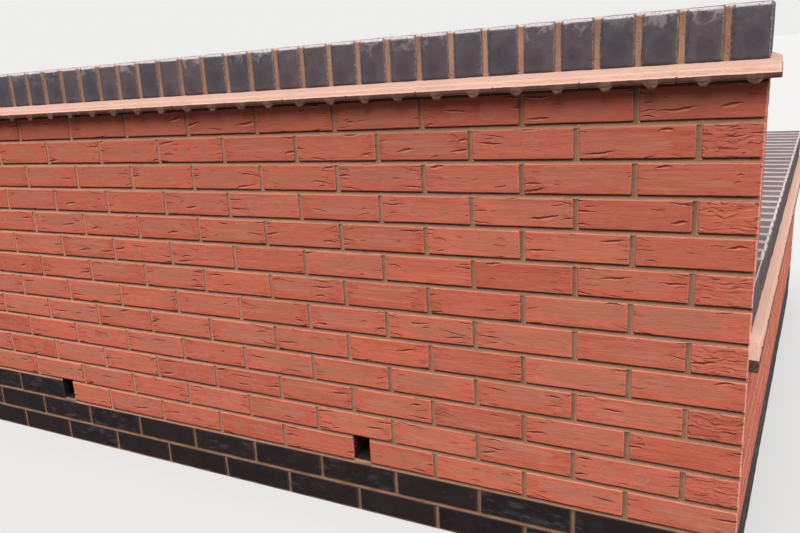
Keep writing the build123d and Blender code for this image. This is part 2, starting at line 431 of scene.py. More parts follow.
# Materials
class Value:
    """A number in a material's nodes, with the usual arithmetic."""

    def __init__(self, shader, socket):
        self.shader, self.socket = shader, socket

    def op(self, name, *others, clamp=False):
        inputs = enumerate((self, *others))
        return self.shader.value("Math", inputs, operation=name, use_clamp=clamp)

    def __add__(self, other): return self.op("ADD", other)
    def __sub__(self, other): return self.op("SUBTRACT", other)
    def __mul__(self, other): return self.op("MULTIPLY", other)
    def __truediv__(self, other): return self.op("DIVIDE", other)
    def __rsub__(self, other): return self.op("MULTIPLY_ADD", -1, other)
    def __abs__(self): return self.op("ABSOLUTE")
    def __lt__(self, other): return self.op("LESS_THAN", other)
    __radd__, __rmul__ = __add__, __mul__

    def least(self, other): return self.op("MAXIMUM", other)
    def most(self, other): return self.op("MINIMUM", other)
    def above(self, other): return self.op("GREATER_THAN", other)
    def share(self): return self.op("MAXIMUM", 0, clamp=True)

    def smooth(self, low, high, to=(0, 1)):
        inputs = enumerate((self, low, high, *to))
        return self.shader.value("MapRange", inputs, interpolation_type="SMOOTHSTEP")


class Nodes:
    """The node tree of a material or the world."""

    def __init__(self, owner):
        owner.use_nodes = True
        self.owner, self.tree = owner, owner.node_tree
        self.tree.nodes.clear()

    def node(self, kind, inputs=(), **settings):
        """A node with its settings, and with its inputs as (key, number, colour or link) pairs."""
        node = self.tree.nodes.new("ShaderNode" + kind)
        for key, value in settings.items():
            setattr(node, key, value)
        for key, item in inputs:
            self.put(node.inputs[key], item)
        return node

    def value(self, kind, inputs, **settings):
        return Value(self, self.node(kind, inputs, **settings).outputs[0])

    def put(self, socket, item):
        if isinstance(item, Value):
            item = item.socket
        if isinstance(item, bpy.types.NodeSocket):
            self.tree.links.new(item, socket)
        elif isinstance(item, tuple) and len(item) == 3 and socket.type == "RGBA":
            socket.default_value = (*item, 1)
        else:
            socket.default_value = item

    def point(self):
        return self.node("TexCoord").outputs["Object"]

    def normal(self):
        return self.parts(self.node("NewGeometry").outputs["Normal"])

    def attribute(self, name):
        return self.node("Attribute", attribute_name=name).outputs

    def parts(self, vector):
        return [Value(self, part) for part in self.node("SeparateXYZ", [(0, vector)]).outputs]

    def vector(self, x, y, z=0):
        return self.node("CombineXYZ", enumerate((x, y, z))).outputs[0]

    def noise(self, vector, scale, detail=3, rough=0.55, swirl=0):
        keys = ("Vector", "Scale", "Detail", "Roughness", "Distortion")
        return self.value("TexNoise", zip(keys, (vector, scale, detail, rough, swirl)))

    def streaks(self, vector, scale, detail, rough, swirl=0):
        """Noise with one scale along and another up."""
        node = self.node("VectorMath", [(0, vector), (1, (*scale, 1))], operation="MULTIPLY")
        return self.noise(node.outputs[0], 1, detail, rough, swirl)

    def mix(self, share, a, b):
        return self.node("Mix", [(0, share), (6, a), (7, b)], data_type="RGBA").outputs[2]

    def coats(self, base, *coats):
        """Colours laid over a base in turn, each as (share, colour)."""
        for share, colour in coats:
            base = self.mix(share, base, colour)
        return base

    def seen(self):
        """1 for rays from the camera or by way of gloss or glass."""
        paths = self.node("LightPath").outputs
        rays = ("Camera", "Glossy", "Transmission")
        camera, gloss, glass = (Value(self, paths[f"Is {ray} Ray"]) for ray in rays)
        return camera.least(gloss).least(glass)


class Shader(Nodes):
    """One material with a principled surface."""

    def __init__(self, name, specular):
        super().__init__(bpy.data.materials.new(name))
        self.surface = self.node("BsdfPrincipled", [("Specular IOR Level", specular)])
        self.node("OutputMaterial", [(0, self.surface.outputs[0])])

    def cover(self, surface):
        for key, item in surface.items():
            self.put(self.surface.inputs[key], item)
        return self.owner

    def finish(self, colour, roughness, height, depth):
        inputs = [("Strength", 1), ("Distance", depth), ("Height", height)]
        bump = self.node("Bump", inputs).outputs[0]
        return self.cover({"Base Color": colour, "Roughness": roughness, "Normal": bump})


def slot_painted_shade(s):
    """How far a spot is into one of the drain slots, where the slot's shade is painted into the
    colour as near-black.
    """
    clean, dark, ends = 0.0035, 0.011, 0.2
    x, y, _ = s.parts(s.point())
    ahead = y.smooth(FACE + clean, FACE + dark) * y.smooth(-FACE - clean, -FACE - dark)
    return ahead * (abs(x) < CORNER - ends)


def brick_place(s):
    """Along and up the face, its length and height, the seeds, and a point for the noise."""
    u, v, _ = s.parts(s.attribute("UVMap")["Vector"])
    long, tall, _ = s.parts(s.attribute("Face")["Vector"])
    outputs = s.attribute("Seed")
    r, g, b = s.parts(outputs["Vector"])
    own = s.vector(u + r * 31, v + g * 29, b * 17)
    return u, v, long, tall, (r, g, b, Value(s, outputs["Alpha"])), own


def to_edge(u, v, long, tall):
    return u.most(long - u).most(v.most(tall - v))


def creases(s, u, v, long, seeds, cell, half, thin, ends, odds, lean, salt, header):
    """Lens-shaped folds, at most one to a cell, and the lip under each.

    Each is half[0] to half[1] to either side and about thin high. The odds go from the first to
    the second between the ends, as shares of the way from the brick's middle to its end."""
    r, g, _, a = seeds
    shift = (r * 61.7 + a * 17.3 + salt, g * 47.9 + a * 23.1 + salt)
    cell_u, cell_v = u / cell[0] + shift[0], v / cell[1] + shift[1]
    inputs = [("Vector", s.vector(cell_u, cell_v)), ("Scale", 1), ("Randomness", 0.9)]
    node = s.node("TexVoronoi", inputs, voronoi_dimensions="2D")
    cx, cy, _ = s.parts(node.outputs["Position"])
    kind, slant, size = s.parts(node.outputs["Color"])
    dx, dy = (cell_u - cx) * cell[0], (cell_v - cy) * cell[1]
    t = dx / (size * (half[1] - half[0]) + half[0])
    bow = (slant - 0.5) * lean * dx + t * t * (size - 0.5) * thin * 2.2
    width = ((1 - t * t) * thin * (slant * 0.7 + 0.5)).least(1e-6)
    chance = abs((cx - shift[0]) * cell[0] * 2 / long - 1).smooth(*ends, odds)
    present = kind < (chance if header is None else chance.least(header * 0.5))
    fold = (1 - abs(dy - bow) / width).share() * present
    lip = (1 - abs(dy - bow + width * 1.5) / width).share() * present
    return fold, lip


def red_brick_material():
    s = Shader("red_facing_brick", 0.15)
    u, v, long, tall, seeds, own = brick_place(s)
    r, g, b, a = seeds
    nx, ny, _ = s.normal()
    x, y, z = s.parts(s.point())
    streak = s.streaks(own, (6, 130), 4, 0.6)
    band = s.streaks(own, (5, 42), 3, 0.55)
    cloud = s.streaks(own, (14, 34), 3, 0.5)
    rasp = s.streaks(own, (34, 430), 2, 0.6)
    grain = s.noise(own, 900, 2, 0.7)
    speck = s.noise(own, 330, 2, 0.6)
    warp = s.noise(own, 38, 2) - 0.5
    header = 1 - long.smooth(0.13, 0.17)

    # Creases of three sizes, most of them near the ends of a stretcher, and all over a header,
    # drawn dark as painted shade, with a painted highlight on the lips under them
    vv = v + warp * 0.007 + (s.noise(own, 130, 2) - 0.5) * 0.003
    kinds = [  # (cell, half length, thickness, ends, odds, lean, salt, header)
        ((0.098, 0.024), (0.014, 0.04), 0.003, (0.25, 0.85), (0.1, 0.72), 0.42, 3.1, None),
        ((0.046, 0.015), (0.006, 0.019), 0.0017, (0.45, 0.95), (0.05, 0.6), 0.45, 11.7, header),
        ((0.026, 0.0078), (0.005, 0.011), 0.0007, (0.62, 1), (0.05, 0.5), 0.5, 23.9, header),
    ]
    (wide, lip), (short, low_lip), (fine, _) = (creases(s, u, vv, long, seeds, *k) for k in kinds)
    sway = s.noise(own, 21, 2, 0.5) - 0.5
    ridge = abs((v / 0.01 + sway * 4.2 + g * 9).op("FRACT") - 0.5) * 2
    torn = s.streaks(own, (36, 110), 2, 0.5)
    wavy = (1 - ridge / (torn.smooth(0.4, 0.72) * 0.42).least(0.001)).least(0) * header
    fold = wide.smooth(0, 0.75) + short.smooth(0, 0.75) * 0.85 + fine.smooth(0, 0.8) * 0.5
    fold = (fold + wavy.smooth(0, 0.7) * 0.6).most(1)
    # pale crests on a header's ridges, drawn with the lips as a painted highlight
    crest = ridge.smooth(0.62, 1) * torn.smooth(0.45, 0.65) * header
    lip = (lip.smooth(0, 0.8) + low_lip.smooth(0, 0.8) * 0.7 + crest).most(1)

    # The rubbed middle of the stretchers, and the round marks left by stacking
    px = (u - long * 0.5 - (b - 0.5) * 0.05) / 0.098
    py = (v - tall * 0.5 - (a - 0.5) * 0.014) / 0.0225
    px, py = px * px, py * py
    rubbed = (0.85 - (px * px + py * py) + (band - 0.5) * 2.4 + (streak - 0.5) * 2).smooth(0, 0.55)
    rubbed = rubbed * a.smooth(0.1, 0.6) * (r * 0.45 + 0.55) * (1 - header)
    fringe = rubbed * (1 - rubbed) * 4 * streak.smooth(0.5, 0.62)
    kx = abs(u - long * 0.5 - (r - 0.5) * 0.03) - 0.035
    ky = v - tall * 0.5 - (g - 0.5) * 0.01
    disc = (kx * kx * 0.75 + ky * ky).op("SQRT")
    disc = disc + warp * 0.016 + (cloud - 0.5) * 0.01 + (speck - 0.5) * 0.006
    mark = disc.smooth(0.0175, 0.014)
    rim = mark * disc.smooth(0.011, 0.015)
    kissed = (a - b * 0.28).smooth(0.06, 0.03) * (1 - header) * (g * 0.6 + 0.55)

    worn = (to_edge(u, v, long, tall) + (speck - 0.5) * 0.006).smooth(0.0038, 0.0008)
    # the top arris, ragged and paler: partly mortar haze, partly a painted highlight where light
    # falls on it
    torn_top_and_highlight = tall - v - cloud.smooth(0.48, 0.75) * 0.005 + (speck - 0.5) * 0.003
    # painted highlight down the wall's outer corner arris, where light catches it
    corner = (nx * ny * nx * ny * 4).smooth(0.08, 0.5)
    corner = corner * x.above(CORNER - 0.006) * (1 - y.above(FACE + 0.006))
    pale = s.noise(own, 150, 3, 0.6).smooth(0.69, 0.75)
    crumbs = s.noise(own, 460, 2, 0.6).smooth(0.66, 0.74)
    base = s.coats(
        s.mix(r, (0.435, 0.09, 0.053), (0.545, 0.13, 0.081)),
        (g.smooth(0.55, 1) * 0.8, (0.6, 0.132, 0.07)),  # brighter bricks
        (b.smooth(0.55, 1) * 0.45, (0.61, 0.17, 0.11)),  # paler bricks
        (band.smooth(0.45, 0.75) * 0.45, (0.43, 0.14, 0.088)),
        (streak.smooth(0.45, 0.72) * 0.55, (0.36, 0.084, 0.051)),
        (streak.smooth(0.55, 0.3) * 0.42, (0.57, 0.168, 0.106)),
        (cloud.smooth(0.5, 0.8) * 0.45, (0.36, 0.074, 0.044)),
        (rubbed * 0.8, (0.4, 0.15, 0.095)),
        (rasp.smooth(0.54, 0.72) * 0.3, (0.62, 0.228, 0.148)),
        (rasp.smooth(0.46, 0.3) * 0.34, (0.3, 0.066, 0.042)),
        (fringe * 0.35, (0.6, 0.25, 0.165)),
        (mark * kissed * 0.54, (0.365, 0.158, 0.098)),
        (rim * kissed * cloud.smooth(0.35, 0.6) * 0.56, (0.55, 0.25, 0.165)),
        (worn * 0.3, (0.53, 0.21, 0.135)),
        # paler top arris: mortar haze and a painted highlight
        (torn_top_and_highlight.smooth(0.0022, 0.0006) * 0.4, (0.52, 0.25, 0.175)),
        # painted highlight on the outer corner arris
        (corner * 0.85, (0.72, 0.39, 0.3)),
        (pale * 0.5, (0.6, 0.29, 0.19)),
        (crumbs * 0.4, (0.62, 0.28, 0.19)),
        (grain.smooth(0.3, 0.75) * 0.25, (0.31, 0.075, 0.045)),
        # painted shade: the bricks darken towards the top of the wall
        (z.smooth(0.5, 1.05) * 0.22, (0.27, 0.078, 0.052)),  # duller upwards
        # painted shade under the tiles' overhang
        (z.smooth(*SHADE_PAINTED_UNDER_TILES) * 0.6, (0.165, 0.034, 0.021)),
        # painted shade deep in the drain slots
        (slot_painted_shade(s) * 0.95, (0.014, 0.0045, 0.0035)),
        # painted highlight on the crease lips and the header crests
        (lip * 0.5, (0.64, 0.235, 0.155)),
        # painted shade in the creases
        (fold * 0.9, (0.12, 0.016, 0.01)),
    )
    height = 0.55 + (grain - 0.5) * 0.1 + (speck - 0.5) * 0.16 + (cloud - 0.5) * 0.3 + warp * 0.3
    height = height + (streak - 0.5) * 0.22 + (rasp - 0.5) * 0.16 + pale * 0.08
    height = height - fold * 0.75 + lip * 0.12 - mark * kissed * 0.06
    return s.finish(base, 0.88 + (streak - 0.5) * 0.15, height, 0.0026)


def blue_grain(s, own):
    """Clouds, a fine grain and pits."""
    pits = s.noise(own, 420, 2, 0.5).smooth(0.66, 0.72)
    return s.noise(own, 26, 4, 0.6), s.noise(own, 210, 3, 0.65), pits


def plinth_brick_material():
    s = Shader("blue_plinth_brick", 0.08)
    u, v, long, tall, seeds, own = brick_place(s)
    cloud, fine, pits = blue_grain(s, own)
    haze = s.streaks(own, (20, 52), 5, 0.66, 0.15) + seeds[1] * 0.24
    dust = (to_edge(u, v, long, tall) + (fine - 0.5) * 0.007).smooth(0.0042, 0.0006)
    base = s.coats(
        s.mix(seeds[0], (0.01, 0.0076, 0.0092), (0.0185, 0.0112, 0.011)),
        (cloud.smooth(0.4, 0.72) * 0.5, (0.026, 0.018, 0.019)),
        (haze.smooth(0.68, 0.88) * 0.44, (0.094, 0.078, 0.088)),
        (dust * 0.24, (0.14, 0.08, 0.06)),
        (pits * 0.6, (0.01, 0.006, 0.006)),
    )
    height = 0.5 + (cloud - 0.5) * 0.5 + (fine - 0.5) * 0.12 - pits * 0.2
    return s.finish(base, 0.7 + (fine - 0.5) * 0.15, height, 0.0012)


def coping_brick_material():
    s = Shader("blue_coping_brick", 0.12)
    u, v, long, tall, seeds, own = brick_place(s)
    r, g, b, _ = seeds
    nx, ny, up = s.normal()
    front = s.parts(s.point())[2].above(0.9)
    along = abs(nx * front + ny * (1 - front))
    cloud, fine, pits = blue_grain(s, own)
    grain = s.noise(own, 1100, 2, 0.7)

    # A dark burn low in the middle, white bloom from the top, pale arrises that are bloom and a
    # painted highlight, and darker tops as painted shade
    bx, by = (u / long - 0.5 + (b - 0.5) * 0.3) / 0.36, (v / tall - 0.3 + (r - 0.5) * 0.2) / 0.3
    blot = (1 - bx * bx - by * by + (cloud - 0.5) * 2.4).smooth(0, 1)
    rise = (v / tall).smooth(0.4, 1)
    haze = s.noise(own, 44, 5, 0.68, 0.6)
    white = (haze + rise * 0.22 - 0.12).smooth(0.5, 0.68) * (rise * 0.85 + 0.12) * g.smooth(0, 0.8)
    edge = to_edge(u, v, long, tall)
    dust = (edge + (fine - 0.5) * 0.01).smooth(0.004, 0)
    ragged = u.most(long - u) + (s.noise(own, 120, 3, 0.7) - 0.5) * 0.022
    # pale top arris: bloom, and a painted highlight where the arris turns up to the light
    arris = up.smooth(0.12, 0.42) * up.smooth(0.99, 0.9) * along.smooth(0.45, 0.2)
    holes = s.noise(own, 190, 2, 0.6) + edge.smooth(0.012, 0) * 0.1
    pits = pits.least(holes.smooth(0.66, 0.7))
    # painted shade: the tops, lit most by the overhead light, get a plainer darker colour
    top = s.mix(cloud.smooth(0.35, 0.65), (0.084, 0.061, 0.066), (0.125, 0.092, 0.097))
    base = s.coats(
        s.mix(r, (0.067, 0.06, 0.071), (0.102, 0.071, 0.077)),
        (cloud.smooth(0.35, 0.75) * 0.6, (0.11, 0.098, 0.11)),
        (s.noise(own, 75, 4, 0.7).smooth(0.56, 0.72) * 0.45, (0.05, 0.036, 0.044)),
        (blot * 0.5, (0.05, 0.04, 0.05)),
        (white * 0.62, (0.34, 0.31, 0.32)),
        (nx.smooth(0.6, 0.9) * (1 - front) * 0.6, (0.066, 0.04, 0.038)),  # outer ends, return
        (dust * 0.28, (0.33, 0.25, 0.24)),
        (ragged.smooth(0.0012, -0.0008) * 0.8, (0.36, 0.21, 0.15)),  # mortar over the sides
        # painted shade on the tops
        (up.smooth(0.8, 0.97) * 0.75, top),
        # pale bloom and a painted highlight on the top arrises
        (arris * 0.9, (0.45, 0.395, 0.41)),
        (pits * 0.5, (0.03, 0.024, 0.027)),
    )
    height = 0.5 + (cloud - 0.5) * 0.45 + (fine - 0.5) * 0.18 + (grain - 0.5) * 0.05 - pits * 0.25
    return s.finish(base, 0.74 + (cloud - 0.5) * 0.16, height, 0.0013)


def joint_coats(s, cloud, lumps):
    """The struck joints: painted shade atop the beds and painted light below, paler to the left, a
    painted highlight on one side of the uprights, dark by the plinth.
    """
    place = s.point()
    x, _, z = s.parts(place)
    across, upright, _ = s.parts(s.attribute("UVMap")["Vector"])
    across = across + (lumps - 0.5) * 0.0016 + (s.noise(place, 45, 3) - 0.5) * 0.0024
    level = 1 - upright
    left = x.smooth(1.9, -0.2)
    patch = cloud.smooth(0.35, 0.65)
    # painted shade along the top of each bed joint, under the brick above
    shade = (across + (1 - left) * 0.0009).smooth(-0.0034, 0.0003)
    blue = (z < 0.143).least((z < 0.214) * (x < CORNER - BLUE_FROM))
    return [
        # painted light: the lower, upward-facing part of each bed joint is paler
        (across.smooth(0, -0.0042) * level * 0.85,
         s.mix(left, (0.35, 0.185, 0.13), (0.54, 0.28, 0.198))),
        # painted shade on the top of each bed joint
        (shade * level * 0.87, (0.165, 0.076, 0.041)),
        (upright * 0.8, s.mix(patch, (0.19, 0.1, 0.054), (0.29, 0.158, 0.094))),
        (left * upright * 0.9, (0.54, 0.27, 0.185)),
        # painted highlight on one side of each upright joint
        (across.smooth(0.0014, 0.0046) * upright * 0.7, (0.46, 0.255, 0.175)),
        (blue * 0.75, s.mix(patch, (0.12, 0.066, 0.039), (0.215, 0.12, 0.073))),
        # painted shade under the tiles' overhang
        (z.smooth(*SHADE_PAINTED_UNDER_TILES) * 0.5, (0.115, 0.05, 0.033)),
        # painted shade deep in the drain slots
        (slot_painted_shade(s) * 0.96, (0.008, 0.004, 0.003)),
    ]


def mortar_material(name, colour, deep, light, topped=None, bond=False, grit=1):
    """Sandy mortar. The topped colour lies on what faces up, and more grit makes it coarse."""
    s = Shader(name, 0.25)
    place = s.point()
    cloud = s.noise(place, 16, 4, 0.6)
    patch = s.noise(place, 3.1, 3, 0.5, 0.4)
    sand = s.noise(place, 620, 2, 0.75)
    lumps = s.noise(place, 170, 3, 0.6)
    coats = [
        (patch.smooth(0.45, 0.75) * 0.55, light),
        (sand.smooth(0.55, 0.72) * 0.3, deep),
        (lumps.smooth(0.62, 0.74) * 0.45 * grit, light),
    ]
    if bond:
        coats += joint_coats(s, cloud, lumps)
    elif grit > 1:
        _, v, _, tall, _, _ = brick_place(s)
        crest = (tall - v + (lumps - 0.5) * 0.01).smooth(0.007, 0.002)
        coats += [
            (lumps.smooth(0.4, 0.3) * (grit - 1), (0.05, 0.03, 0.022)),
            (crest * 0.85, (0.78, 0.64, 0.6)),
        ]
    if topped:
        coats.append((s.normal()[2].smooth(0.12, 0.62) * 0.9, topped))
    base = s.coats(s.mix(cloud.smooth(0.32, 0.7) * 0.8, colour, deep), *coats)
    height = (sand - 0.5) * 0.5 + (lumps - 0.5) * 0.7 + (cloud - 0.5) * 0.4 + 0.5
    return s.finish(base, 0.93 + (sand - 0.5) * 0.1, height, 0.0016)


def tile_material():
    s = Shader("clay_tile", 0.2)
    place = s.point()
    _, y, z = s.parts(place)
    u, v, long, tall, (r, *_), _ = brick_place(s)
    cloud = s.noise(place, 30, 4, 0.6)
    sand = s.noise(place, 700, 2, 0.7)
    lumps = s.noise(place, 120, 3, 0.6)
    smear = s.noise(place, 22, 4, 0.7, 0.8).smooth(0.62, 0.72)
    # An edge is as tall as a tile is thick, and only the front wall's tiles are FRONT_TILE thick
    thick = tall.smooth(0.0112, 0.0118)
    narrow = 1 - tall.smooth(0.02, 0.03)
    # Paler about the nibs, and painted shade along the foot between them
    spot = abs(long - u - NIB_PLACES[0]).most(abs(long - u - NIB_PLACES[1])) + (lumps - 0.5) * 0.006
    around = spot.smooth(0.0165, 0.0085) * thick * narrow
    foot = v.smooth(0.0062, 0.001) * thick * (1 - around)
    # Mortar that the band leaves over the upper edge of the front wall's tiles, and on the ledge
    dressed = v - tall + 0.0026 + (cloud - 0.5) * 0.003 + (lumps - 0.5) * 0.0015
    ledge = v.most(tall - v).smooth(0.0045, 0.0035) * z.above(RETURN_TILES[1] + 0.004)
    dressed = dressed.smooth(-0.0004, 0.0004) * narrow * thick + ledge * (1 - narrow)
    # Thin smears of mortar on the nibs, and paler patches of painted light on the outer edge of the
    # return's tiles, the side that faces the side lamp
    nib = tall.smooth(-0.4, -0.6) * (lumps + cloud - 0.5).smooth(0.38, 0.62)
    outer = s.normal()[0].smooth(0.6, 0.9) * narrow * (1 - thick) * tall.smooth(0, 0.005)
    outer = outer * y.smooth(FACE + 0.005, FACE + 0.012) * (lumps + cloud).smooth(0.75, 1.15)
    base = s.coats(
        s.mix(r, (0.062, 0.028, 0.021), (0.11, 0.046, 0.032)),
        (cloud.smooth(0.4, 0.75) * 0.5, (0.135, 0.06, 0.041)),
        (sand.smooth(0.5, 0.75) * 0.35, (0.035, 0.018, 0.014)),
        (smear * 0.45, (0.46, 0.27, 0.2)),
        # painted shade along the lower edge of the tiles
        (foot * 0.75, (0.02, 0.009, 0.007)),
        (around * cloud.smooth(0.35, 0.6) * 0.28, (0.3, 0.165, 0.12)),
        (dressed * 0.95, (0.64, 0.39, 0.305)),
        (nib * 0.26, (0.34, 0.195, 0.14)),
        # painted light in patches on the outer edge of the return's tiles
        (outer * 0.75, (0.38, 0.19, 0.14)),
    )
    height = (sand - 0.5) * 0.4 + (lumps - 0.5) * 0.8 + smear * 0.3 + dressed * 0.5 + 0.4
    return s.finish(base, 0.88 + (cloud - 0.5) * 0.15, height, 0.0014)


red_brick = red_brick_material()
plinth_brick = plinth_brick_material()
coping_brick = coping_brick_material()
joint_mortar = mortar_material(
    "brick_joint_mortar",
    (0.33, 0.17, 0.102), (0.24, 0.118, 0.068), (0.42, 0.235, 0.15), bond=True,
)
bed_mortar = mortar_material(
    "levelling_bed_mortar", (0.37, 0.205, 0.13), (0.27, 0.145, 0.09), (0.47, 0.28, 0.185),
)
# painted shade: a near-black mortar for the creasing beds and tile joints, which lie in the tiles'
# shade
painted_shade_mortar = mortar_material(
    "creasing_mortar", (0.06, 0.029, 0.02), (0.038, 0.018, 0.013), (0.095, 0.05, 0.035),
)
coping_mortar = mortar_material(
    "coping_joint_mortar", (0.3, 0.158, 0.102), (0.21, 0.108, 0.07), (0.48, 0.29, 0.205),
    topped=(0.33, 0.265, 0.25), grit=1.8,
)
# the topped colour here is painted shade: a darker up-facing shoulder that evens out the overhead
# light
band_mortar = mortar_material(
    "weathered_band_mortar", (0.78, 0.475, 0.372), (0.72, 0.425, 0.33), (0.82, 0.52, 0.415),
    topped=(0.375, 0.23, 0.178),
)
tile_clay = tile_material()

# Bricks, with the lines across their sides, and the joints of the bond between them
RED_LINES, BLUE_LINES, CAP_DEPTH = (7, 2, 3), (6, 2, 3), 0.009
RED_BLOCK_LINES, BLUE_BLOCK_LINES = (7, 4, 3), (6, 4, 3)
RED_ARRIS, BLUE_ARRIS = 0.0022, 0.0025
wall_nodes = {
    "red_front": [
        "front_facing_lower", "front_facing_upper", "slot_course_outer_1", "slot_course_outer_2",
    ],
    "red_back": [
        "front_backing_lower", "front_backing_upper", "slot_course_inner_1", "slot_course_inner_2",
    ],
    "red_return": ["return_facing", "return_backing"],
}
for kind, nodes in wall_nodes.items():
    mesh = Mesh(kind + "_bricks")
    add_boxes(mesh, caps[kind], RED_LINES, RED_ARRIS, 0.00065, depth=CAP_DEPTH)
    mesh.build(red_brick, "red_facing_brick", *nodes)
mesh = Mesh("red_end_bricks")
add_boxes(mesh, blocks["red"], RED_BLOCK_LINES, RED_ARRIS, 0.00045)
mesh.build(red_brick, "red_facing_brick")
mesh = Mesh("blue_plinth_bricks")
add_boxes(mesh, caps["blue"], BLUE_LINES, BLUE_ARRIS, 0.00035, depth=CAP_DEPTH)
add_boxes(mesh, blocks["blue"], BLUE_BLOCK_LINES, BLUE_ARRIS, 0.00035)
mesh.build(
    plinth_brick, "blue_engineering_brick", "front_plinth_outer", "front_plinth_inner",
    "return_plinth_outer", "return_plinth_inner",
    *[f"slot_course_{leaf}_{i}" for leaf in ("outer", "inner") for i in (3, 4, 5)],
)

# Profiles of the joints, as (across the joint, depth in the wall) in mm
STRUCK = [(-7, 2), (-4.6, 1), (-1, 2.6), (3, 5.8), (5, 7.6), (7.5, 8.5)]
FOOT = [(across * 0.4, depth) for across, depth in STRUCK]
SILL = [(-7, 2), (-4.6, 1.2), (0, 2.4), (3.8, 3.4), (5, 7.5)]
UPRIGHT = [(-7.5, 6), (-4.6, 4.2), (0, 3), (4.4, 2.6), (7.5, 3.4)]
OVERLAP = 0.2  # how far a joint stops short of a corner that the other wall covers
mortar = Mesh("brick_joints")
for k in range(FRONT_COURSES):
    z = k * COURSE if k else JOINT / 4
    shape = STRUCK if k else FOOT
    for wall in ("front", "back"):
        first = OVERLAP if wall == "back" and k <= RETURN_COURSES else 0
        if k not in (PLINTH, PLINTH + 1):
            add_strip(mortar, wall, (first, LENGTH), z, shape, mitre=(0 if first else 1, 1))
            continue
        ends = [(s, s + SLOT_WIDTH) for s in SLOTS]
        if wall == "front":
            ends = [(LENGTH - stop, LENGTH - start) for start, stop in reversed(ends)]
        start = first
        for low, high in ends + [(LENGTH, None)]:
            mitre = (1 if start == 0 else 0, 1 if high is None else 0)
            add_strip(mortar, wall, (start, low), z, shape, mitre=mitre)
            if high is not None and k == PLINTH:
                add_strip(mortar, wall, (low, high), z, SILL, mitre=(0, 0), tone=-2.1)
            start = high
    add_strip(mortar, "left", (0, THICK), z, shape)
    if k >= RETURN_COURSES:
        add_strip(mortar, "right", (0, THICK), z, shape)
    else:
        add_strip(mortar, "return", (0, RETURN), z, shape)
        add_strip(mortar, "inner", (0, RETURN - OVERLAP), z, shape, mitre=(1, 0))
        add_strip(mortar, "return_end", (0, THICK), z, shape)
for wall, place, k in perps:
    low = k * COURSE + 0.0005
    add_strip(mortar, wall, (low, low + COURSE), place, UPRIGHT, upright=True)

# Mortar that shows inside the drain slots: over the sill, and between the two leaves
COLLAR = (HALF - 0.001, HALF + JOINT + 0.001)
for slot in SLOTS:
    low, high = LENGTH - slot - SLOT_WIDTH, LENGTH - slot
    fill = [
        ((low - 0.01, high + 0.01), (0.0062, THICK - 0.0062), (0.14, 0.155)),
        ((low - 0.02, high + 0.02), COLLAR, (0.229, 0.245)),
    ]
    for edge, out in ((low, -0.02), (high, 0.02)):
        side = tuple(sorted((edge, edge + out)))
        inset = tuple(sorted((edge + out * 0.1, edge + out)))
        fill.append((side, (0.0065, THICK - 0.0065), (0.219, 0.231)))
        fill.append((inset, COLLAR, (0.15, 0.222)))
    add_boxes(mortar, [box("front", *place) for place in fill], (3, 8, 2), 0.0012, 0.0006)
mortar.build(joint_mortar, "mortar", "front_collar_joint", "return_collar_joint")


# Creasing of the front wall, whose tiles close the gaps between them by LONGER at each end
SMALLEST_TILE, LONGER, RIB_INSET = 0.045, 0.003, 0.0015
TILE_LINES, RIB_LINES = (6, 8, 1), (1, 10, 1)
THIN = [(-5, 3), (-3, 1.6), (0, 2.2), (3, 1.6), (5, 3)]


def tile_spans(start, stop):
    """The ends of each tile along a row, the last cut, or the last two where it would be small."""
    spans = []
    while stop - start > TILE_WIDTH:
        spans.append((start, start + TILE_WIDTH))
        start += TILE_WIDTH + TILE_GAP
    if stop - start >= SMALLEST_TILE:
        return spans + [(start, stop)]
    start = spans.pop()[0]
    half = (stop - start - TILE_GAP) / 2
    return spans + [(start, start + half), (stop - half, stop)]


def add_nib(mesh, x, seeds):
    """A nib under the front edge of a tile, as a soft foot with hollow flanks."""
    across = np.linspace(-NIB_HALF, NIB_HALF, 21)
    t = np.clip((NIB_HALF - np.abs(across)) / 0.0148, 0, 1)
    drop = NIB_DROP * (t * t * (3 - 2 * t)) ** 2 + 0.0006
    rows = np.array([  # (in from the tile's edge, share of the drop)
        (0.0016, -0.1), (0.0012, 0.3), (0.001, 0.62), (0.002, 0.88), (0.0042, 1),
        (0.0095, 1), (0.0125, 0.85), (0.0138, 0.45), (0.014, -0.1),
    ])
    y = FACE - OVERHANG + rows[None, :, 0] + 0 * across[:, None]
    z = FRONT_TILES + 0.0006 - drop[:, None] * rows[None, :, 1]
    place = np.stack([x + across[:, None] + 0 * y, y, z], -1)
    uneven = [noise(place, cell=0.012, seed=31 + i) for i in range(3)]
    place = place + 0.0007 * np.stack(uneven, -1)
    place[..., 1] = np.maximum(place[..., 1], FACE - OVERHANG)
    mesh.add(place.reshape(-1, 3), grid_quads(*place.shape[:2]), size=NIB_FLAG, seed=seeds)


